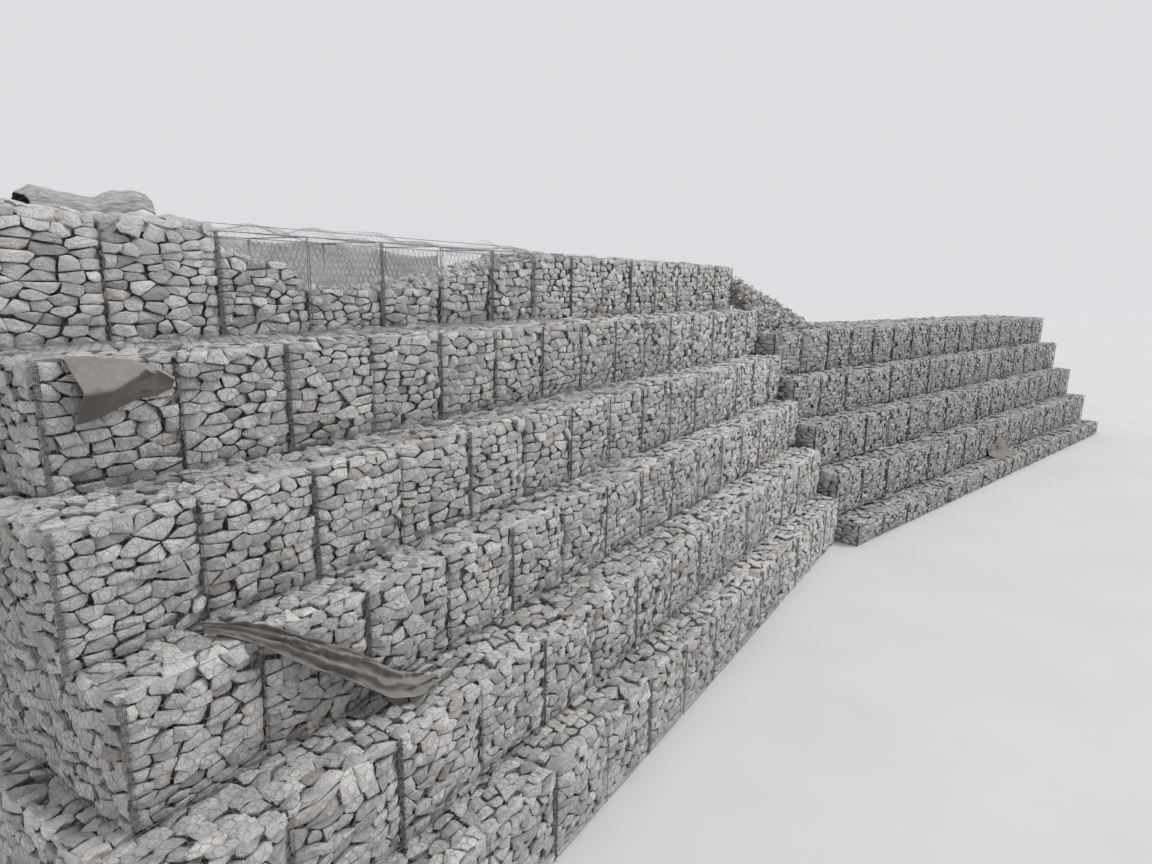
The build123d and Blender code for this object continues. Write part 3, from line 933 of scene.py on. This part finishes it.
BOULDERS = [
    # place along, depth behind the front mesh, height, half length
    (-10.55, 0.30, 5.52, 0.22),
    (-10.20, 0.24, 5.36, 0.20),
    (-9.85, 0.26, 5.50, 0.25),
    (-9.50, 0.24, 5.36, 0.19),
    (-9.15, 0.30, 5.62, 0.24),
    (-8.80, 0.26, 5.58, 0.21),
    (-9.35, 0.60, 5.66, 0.22),
]
boulders = Shape()
boulder_rng = np.random.default_rng(63)
for x, depth, level, size in BOULDERS:
    add_rock(boulders, LEFT.point(x, TOP_FRONT + depth, level), size, boulder_rng, 0.5)
boulders.piece("open_basket_boulders", "quarry_stone", [STONE])

top_seams = Shape()
top_seam_edges = near_edges + open_edges[1:] + far_edges[1:]
add_seams(top_seams, LEFT, top_seam_edges, TOP_FRONT, TOP_BOTTOM, CELL, TOP_SEAM_PART)
top_seams = top_seams.piece("top_course_lacing", "laced_wire", [LACING_STEEL])
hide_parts("top_course_seam_wires")


# Wire mesh of the open baskets
BACK_SLACK, LID_SLACK, PANEL_SLACK = 0.015, 0.13, 0.05
lid_foot = LEFT.point(OPEN_START, LEFT_BACK, TOP_LEVEL)
lid_up = np.array([0.0, cos(LID_LEAN), sin(LID_LEAN)])
panels = {
    "open_basket_front_mesh": front_panel(LEFT, OPEN_START, open_end, TOP_FRONT, TOP_BOTTOM, CELL),
    "open_basket_back_mesh": front_panel(LEFT, OPEN_START, open_end, LEFT_BACK, TOP_BOTTOM, CELL),
    "open_basket_lids": Panel(lid_foot, LEFT.along, lid_up, LID_CELLS * CELL, CELL),
}
for number, place in enumerate(open_edges[1:-1], 1):
    panels[f"open_basket_diaphragm_{number}"] = end_panel(LEFT, place, *TOP_END)
for seed, (name, panel) in enumerate(panels.items()):
    woven = Shape()
    slack = BACK_SLACK if "back" in name else LID_SLACK if "lids" in name else PANEL_SLACK
    add_mesh(woven, panel, 0.0, slack, seed * 3.1, sides=3)
    rim = [(0, 0), (panel.width, 0), (panel.width, panel.height), (0, panel.height), (0, 0)]
    for first, second in zip(rim, rim[1:]):
        path = panel.place(np.linspace(first, second, 9), 0.0)
        add_tube(woven, path, EDGE_WIRE, 4, panel.normal)
    wires = woven.piece(name + "_wires", "wire_mesh", [MESH_STEEL])
    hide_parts(name)


# Loose heap at the bend
HEAP_LENGTH = 2.6
HEAP_FRONT = -0.03
HEAP_BOTTOM = 4.5
HEAP_TOP = 5.88
HEAP_TOE = 0.15
HEAP_LAYERS = (0.0, 0.10, 0.2)
HEAP_STONES = dict(spacing=0.105, sizes=(0.04, 0.105), sink=0.5, lie=0.7)
heap_rng = np.random.default_rng(77)


def add_heap_layer(shape, drop):
    """Stones at one depth under the top of the heap, which falls away along the run and to the front."""
    rise = HEAP_TOP - HEAP_BOTTOM - HEAP_TOE

    def level(x, y):
        along = HEAP_TOP - rise * x / HEAP_LENGTH
        across = HEAP_BOTTOM + HEAP_TOE + rise * (y - HEAP_FRONT) / (TOP_FRONT - HEAP_FRONT)
        top = min(along, across)
        return max(top - drop, HEAP_BOTTOM + 0.03) if top > HEAP_BOTTOM - 0.02 else None

    patch = (0.08, HEAP_LENGTH), (HEAP_FRONT, RIGHT_BACK - 0.08)
    scatter(shape, RIGHT, *patch, level, heap_rng, **HEAP_STONES)


heap = Shape()
for drop in HEAP_LAYERS:
    add_heap_layer(heap, drop)
heap = heap.piece("loose_heap_stones", "quarry_stone", [STONE])
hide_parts("loose_stone_heap")


# Filter fabric
FABRIC_THICKNESS = 0.004
FABRIC_GAP = 0.012


def cloth_faces(rows, columns):
    """Faces of both sides of a sheet and of its rim."""
    count = rows * columns
    index = np.arange(count).reshape(rows, columns)
    corners = index[:-1, :-1], index[:-1, 1:], index[1:, 1:], index[1:, :-1]
    faces = []
    for a, b, c, d in np.stack(corners, -1).reshape(-1, 4).tolist():
        faces += [(a, d, c, b), (count + a, count + b, count + c, count + d)]
    rim = np.concatenate([index[0], index[1:, -1], index[-1, -2::-1], index[-2:0:-1, 0]]).tolist()
    faces += [(a, b, count + b, count + a) for a, b in zip(rim, rim[1:] + rim[:1])]
    return faces


def cloth_piece(name, node, grid, held, rests_on, material=FABRIC):
    """A closed sheet around a grid of points."""
    normal = unit(np.cross(np.gradient(grid, axis=0), np.gradient(grid, axis=1)))
    sides = [(grid + side * normal * FABRIC_THICKNESS / 2).reshape(-1, 3) for side in (1, -1)]
    shape = Shape()
    shape.add(np.concatenate(sides), cloth_faces(*grid.shape[:2]))
    made = shape.piece(name, "filter_fabric", [material], smooth=True)
    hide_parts(node)


def distances(line):
    """How far along a line each of its points is."""
    return np.concatenate([[0], np.cumsum(np.linalg.norm(np.diff(line, axis=0), axis=1))])


def points_along(line, places):
    """Points of a line at some distances along it."""
    reached = distances(line)
    return np.stack([np.interp(places, reached, line[:, n]) for n in range(line.shape[1])], 1)


def bend_through(stops, count):
    """Points spaced evenly along a bent line through some stops."""
    line = np.array(stops, float)
    return points_along(line, np.linspace(0, distances(line)[-1], count))


def smooth_line(points, passes):
    """A line with its bends rounded and its ends kept."""
    points = points.copy()
    for _ in range(passes):
        points[1:-1] = (points[:-2] + 2 * points[1:-1] + points[2:]) / 4
    return points


def crumple(u, v, seed, sharp=0.0):
    """Height of folds at a place, from broad waves to small creases."""
    total = 0.0
    for n, (size, weight) in enumerate(((1.6, 0.55), (4.1, 0.3), (9.3, 0.15))):
        wave = noise.noise(Vector((size * u, size * v, seed + 7.7 * n)))
        total += weight * ((1 - sharp) * wave + sharp * (0.5 - 2 * abs(wave)))
    return total


def drape(run, ends, stops, columns, rows, fold, seed, sharp, cut=None):
    """Grid of a sheet that follows one profile of (y, z) stops along a run, folded and cut short."""
    profile = smooth_line(bend_through(stops, 160), 18)
    whole = distances(profile)[-1]
    grid = np.zeros((columns, rows, 3))
    for i, share in enumerate(np.linspace(0, 1, columns)):
        x = ends[0] + (ends[1] - ends[0]) * share
        places = np.linspace(0, whole * (cut(share) if cut else 1.0), rows)
        ahead, behind = np.minimum(places + 0.02, whole), np.maximum(places - 0.02, 0)
        slopes = unit(points_along(profile, ahead) - points_along(profile, behind))
        for j, (y, z) in enumerate(points_along(profile, places)):
            lift = fold * (0.45 + crumple(x, places[j], seed, sharp))
            grid[i, j] = run.point(x + 0.25 * lift, y + lift * slopes[j, 1], z - lift * slopes[j, 0])
    return grid


def slanted_band(upper, lower, columns, rows, fold, seed):
    """Grid of a sheet slung between two lines, with long folds along it."""
    upper = smooth_line(bend_through(upper, columns), 12)
    lower = smooth_line(bend_through(lower, columns), 12)
    grid = np.zeros((columns, rows, 3))
    for i in range(columns):
        for j, share in enumerate(np.linspace(0, 1, rows)):
            place = upper[i] + (lower[i] - upper[i]) * share
            along = 3.0 * i / columns
            wave = 1 - 2 * abs(sin(pi * (2.6 * share + 0.7 * crumple(along, share, seed) + 0.2 * along)))
            lift = fold * (0.5 + 0.6 * wave + crumple(along, 2 * share, seed + 3, 0.7))
            grid[i, j] = place + lift * np.array([0.05, -0.8, 0.55])
    return grid


def sheet_through(stations, columns, rows, fold, seed, sharp):
    """Grid of a sheet through profiles of (y, z) stops at some places along the left run."""
    places = [x for x, _ in stations]
    profiles = np.array([bend_through(stops, 5 * rows) for _, stops in stations])
    grid = np.zeros((columns, rows, 3))
    for i, x in enumerate(np.linspace(places[0], places[-1], columns)):
        profile = np.zeros(profiles.shape[1:])
        for n in range(profiles.shape[1]):
            profile[n] = [np.interp(x, places, profiles[:, n, side]) for side in (0, 1)]
        profile = smooth_line(profile, 14)[np.linspace(0, 5 * rows - 1, rows).astype(int)]
        slope = np.gradient(profile, axis=0)
        slope /= np.linalg.norm(slope, axis=1)[:, None] + 1e-9
        for j, (y, z) in enumerate(profile):
            lift = fold * (0.3 + crumple(x, y - z, seed, sharp))
            grid[i, j] = LEFT.point(x + 0.3 * lift, y + lift * slope[j, 1], z - lift * slope[j, 0])
    return grid


near_stations = [
    (-14.56, [(0.05, 4.99), (-0.07, 4.975), (-0.10, 4.93), (-0.29, 4.78), (-0.10, 4.55)]),
    (-14.38, [(0.05, 4.99), (-0.07, 4.98), (-0.10, 4.95), (-0.32, 4.79), (-0.10, 4.58)]),
    (-14.22, [(0.05, 4.99), (-0.07, 4.985), (-0.10, 4.955), (-0.30, 4.86), (-0.10, 4.63)]),
    (-14.10, [(0.00, 4.99), (-0.09, 4.98), (-0.13, 4.95), (-0.26, 4.91), (-0.10, 4.67)]),
    (-13.97, [(-0.09, 4.93), (-0.14, 4.915), (-0.19, 4.88), (-0.16, 4.82), (-0.10, 4.68)]),
    (-13.86, [(-0.14, 4.82), (-0.165, 4.81), (-0.17, 4.795), (-0.15, 4.77), (-0.12, 4.73)]),
]
near_sheet = sheet_through(near_stations, 64, 48, 0.05, 4.4, 0.4)
cloth_piece("near_end_fabric_sheet", "near_end_fabric", near_sheet, "draped", ["left_course_2_stones"])

toe_upper = [
    (-14.20, -0.80, 3.07), (-14.04, -1.03, 3.07), (-13.93, -1.22, 3.06), (-13.70, -1.31, 2.90),
    (-13.28, -1.32, 2.62), (-12.98, -1.33, 2.36), (-12.70, -1.34, 2.13), (-12.55, -1.38, 2.07),
]
toe_lower = [
    (-14.24, -0.96, 3.06), (-14.12, -1.20, 3.05), (-13.97, -1.43, 2.93), (-13.64, -1.46, 2.62),
    (-13.30, -1.48, 2.34), (-13.05, -1.56, 2.13), (-12.82, -1.66, 2.06), (-12.52, -1.60, 2.055),
]
toe_sheet = slanted_band(toe_upper, toe_lower, 110, 28, 0.07, 5.0)
toe_rests = ["left_course_4_stones", "left_course_5_stones"]
cloth_piece("toe_fabric_sheet", "toe_fabric", toe_sheet, "draped", toe_rests)

far_stops = [(-2.80, 0.555), (-2.56, 0.56), (-2.47, 0.62), (-2.45, 1.14)]


def far_cut(share):
    """How much of its length the far sheet keeps along its torn edge."""
    return 1.0 - 0.3 * abs(sin(5 * share + 0.6))


far_sheet = drape(RIGHT, (9.4, 11.0), far_stops, 60, 36, 0.09, 8.0, 0.6, far_cut)
cloth_piece("far_end_fabric_sheet", "far_end_fabric", far_sheet, "laid", ["right_course_6_stones"])

top_heights = [(-14.12, 6.25, 6.10), (-14.02, 6.33, 6.10), (-13.86, 6.30, 6.10), (-13.68, 6.27, 6.10)]
top_heights += [(-13.50, 6.30, 6.11), (-13.36, 6.34, 6.13), (-13.24, 6.35, 6.17), (-13.13, 6.34, 6.13)]
top_stations = []
for x, top, foot in top_heights:
    middle = 0.45 * foot + 0.55 * top
    brow = [(1.25, foot), (1.29, middle), (1.40, top - 0.015), (1.56, top)]
    top_stations.append((x, brow + [(1.74, top - 0.07), (1.86, 6.02), (1.86, 5.63)]))
top_sheet = sheet_through(top_stations, 70, 60, 0.07, 21.0, 0.9)
top_rests = ["top_course_near_stones"]
cloth_piece("top_end_fabric_sheet", "top_end_fabric", top_sheet, "draped", top_rests, BUNDLE)

lining_tops = [(-12.85, 6.0), (-12.04, 5.99), (-11.5, 5.97), (-10.95, 6.01), (-10.4, 5.98)]
lining_tops += [(-10.18, 6.0), (-9.66, 5.93), (-9.2, 5.9), (-8.85, 5.93)]
lining_stations = [(x, [(1.822, 5.01), (1.818, 5.4), (1.822, top)]) for x, top in lining_tops]
lining_sheet = sheet_through(lining_stations, 100, 24, -0.05, 31.0, 0.3)
lining_names = "open_basket_lining_sheet", "open_basket_lining_fabric"
cloth_piece(*lining_names, lining_sheet, "hung", ["open_basket_back_mesh_wires"], LINING)

left_stops = [(LEFT_BACK + FABRIC_GAP, 4.89), (LEFT_BACK + FABRIC_GAP, 0.01)]
left_back = drape(LEFT, (-14.75, 0.0), left_stops, 90, 24, -0.02, 11.0, 0.2)
cloth_piece("left_back_fabric_sheet", "left_back_fabric", left_back, "hung", ["left_course_2_stones"])
right_stops = [(RIGHT_BACK + FABRIC_GAP, 4.48), (RIGHT_BACK + FABRIC_GAP, 0.01)]
right_back = drape(RIGHT, (0.1, 19.9), right_stops, 110, 22, -0.02, 14.0, 0.2)
cloth_piece("right_back_fabric_sheet", "right_back_fabric", right_back, "hung", ["right_course_2_stones"])


# Floor, light and camera
FLOOR_HALF = 220.0
FLOOR_LEVEL = -0.004


def make_floor():
    look = Look("pale_floor", 0.9)
    look.show(look.ramp(look.noise(0.4, 3.0), (0.3, grey(0.62)), (0.7, grey(0.66))), "Base Color")
    mesh = bpy.data.meshes.new("floor")
    corners = [(FLOOR_HALF * x, FLOOR_HALF * y, 0) for x, y in ((-1, -1), (1, -1), (1, 1), (-1, 1))]
    mesh.from_pydata(corners, [], [(0, 1, 2, 3)])
    mesh.materials.append(look.material)
    floor = add_object("floor", mesh)
    floor.location.z = FLOOR_LEVEL
    floor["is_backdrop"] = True


def make_light():
    world = bpy.data.worlds.new("soft_sky")
    bpy.context.scene.world = world
    world.use_nodes = True
    sky = world.node_tree.nodes["Background"].inputs
    sky["Color"].default_value = (0.96, 0.975, 1.0, 1)
    sky["Strength"].default_value = 0.75
    lamp = bpy.data.lights.new("overcast_sun", "SUN")
    lamp.energy = 1.5
    lamp.angle = radians(30)
    towards = Vector((-0.45, 0.55, -1.0))
    add_object("overcast_sun", lamp).rotation_euler = towards.to_track_quat("-Z", "Y").to_euler()


CAMERA_PLACE = Vector((-16.85, -5.80, 5.60))
CAMERA_YAW, CAMERA_PITCH, CAMERA_ROLL = radians(-57.26), radians(-11.74), radians(-1.13)
FOCAL_PIXELS = 723.8
IMAGE_WIDTH = 1152
SENSOR_WIDTH = 36.0


def make_camera():
    data = bpy.data.cameras.new("photo_view")
    data.sensor_width = SENSOR_WIDTH
    data.sensor_fit = "HORIZONTAL"
    data.lens = FOCAL_PIXELS / IMAGE_WIDTH * SENSOR_WIDTH
    data.clip_end = 500
    camera = add_object("photo_view", data)
    yaw, pitch = Matrix.Rotation(CAMERA_YAW, 3, "Z"), Matrix.Rotation(CAMERA_PITCH, 3, "X")
    right, forward, up = (yaw @ pitch @ Matrix.Rotation(CAMERA_ROLL, 3, "Y")).col
    axes = Matrix((right, up, -forward)).transposed()
    camera.matrix_world = Matrix.Translation(CAMERA_PLACE) @ axes.to_4x4()
    bpy.context.scene.camera = camera


make_floor()
make_light()
make_camera()
bpy.context.scene.view_settings.view_transform = "Standard"

low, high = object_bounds()
sizes = {"cad": [list(cad_low), list(cad_high)], "visual": [list(low), list(high)]}
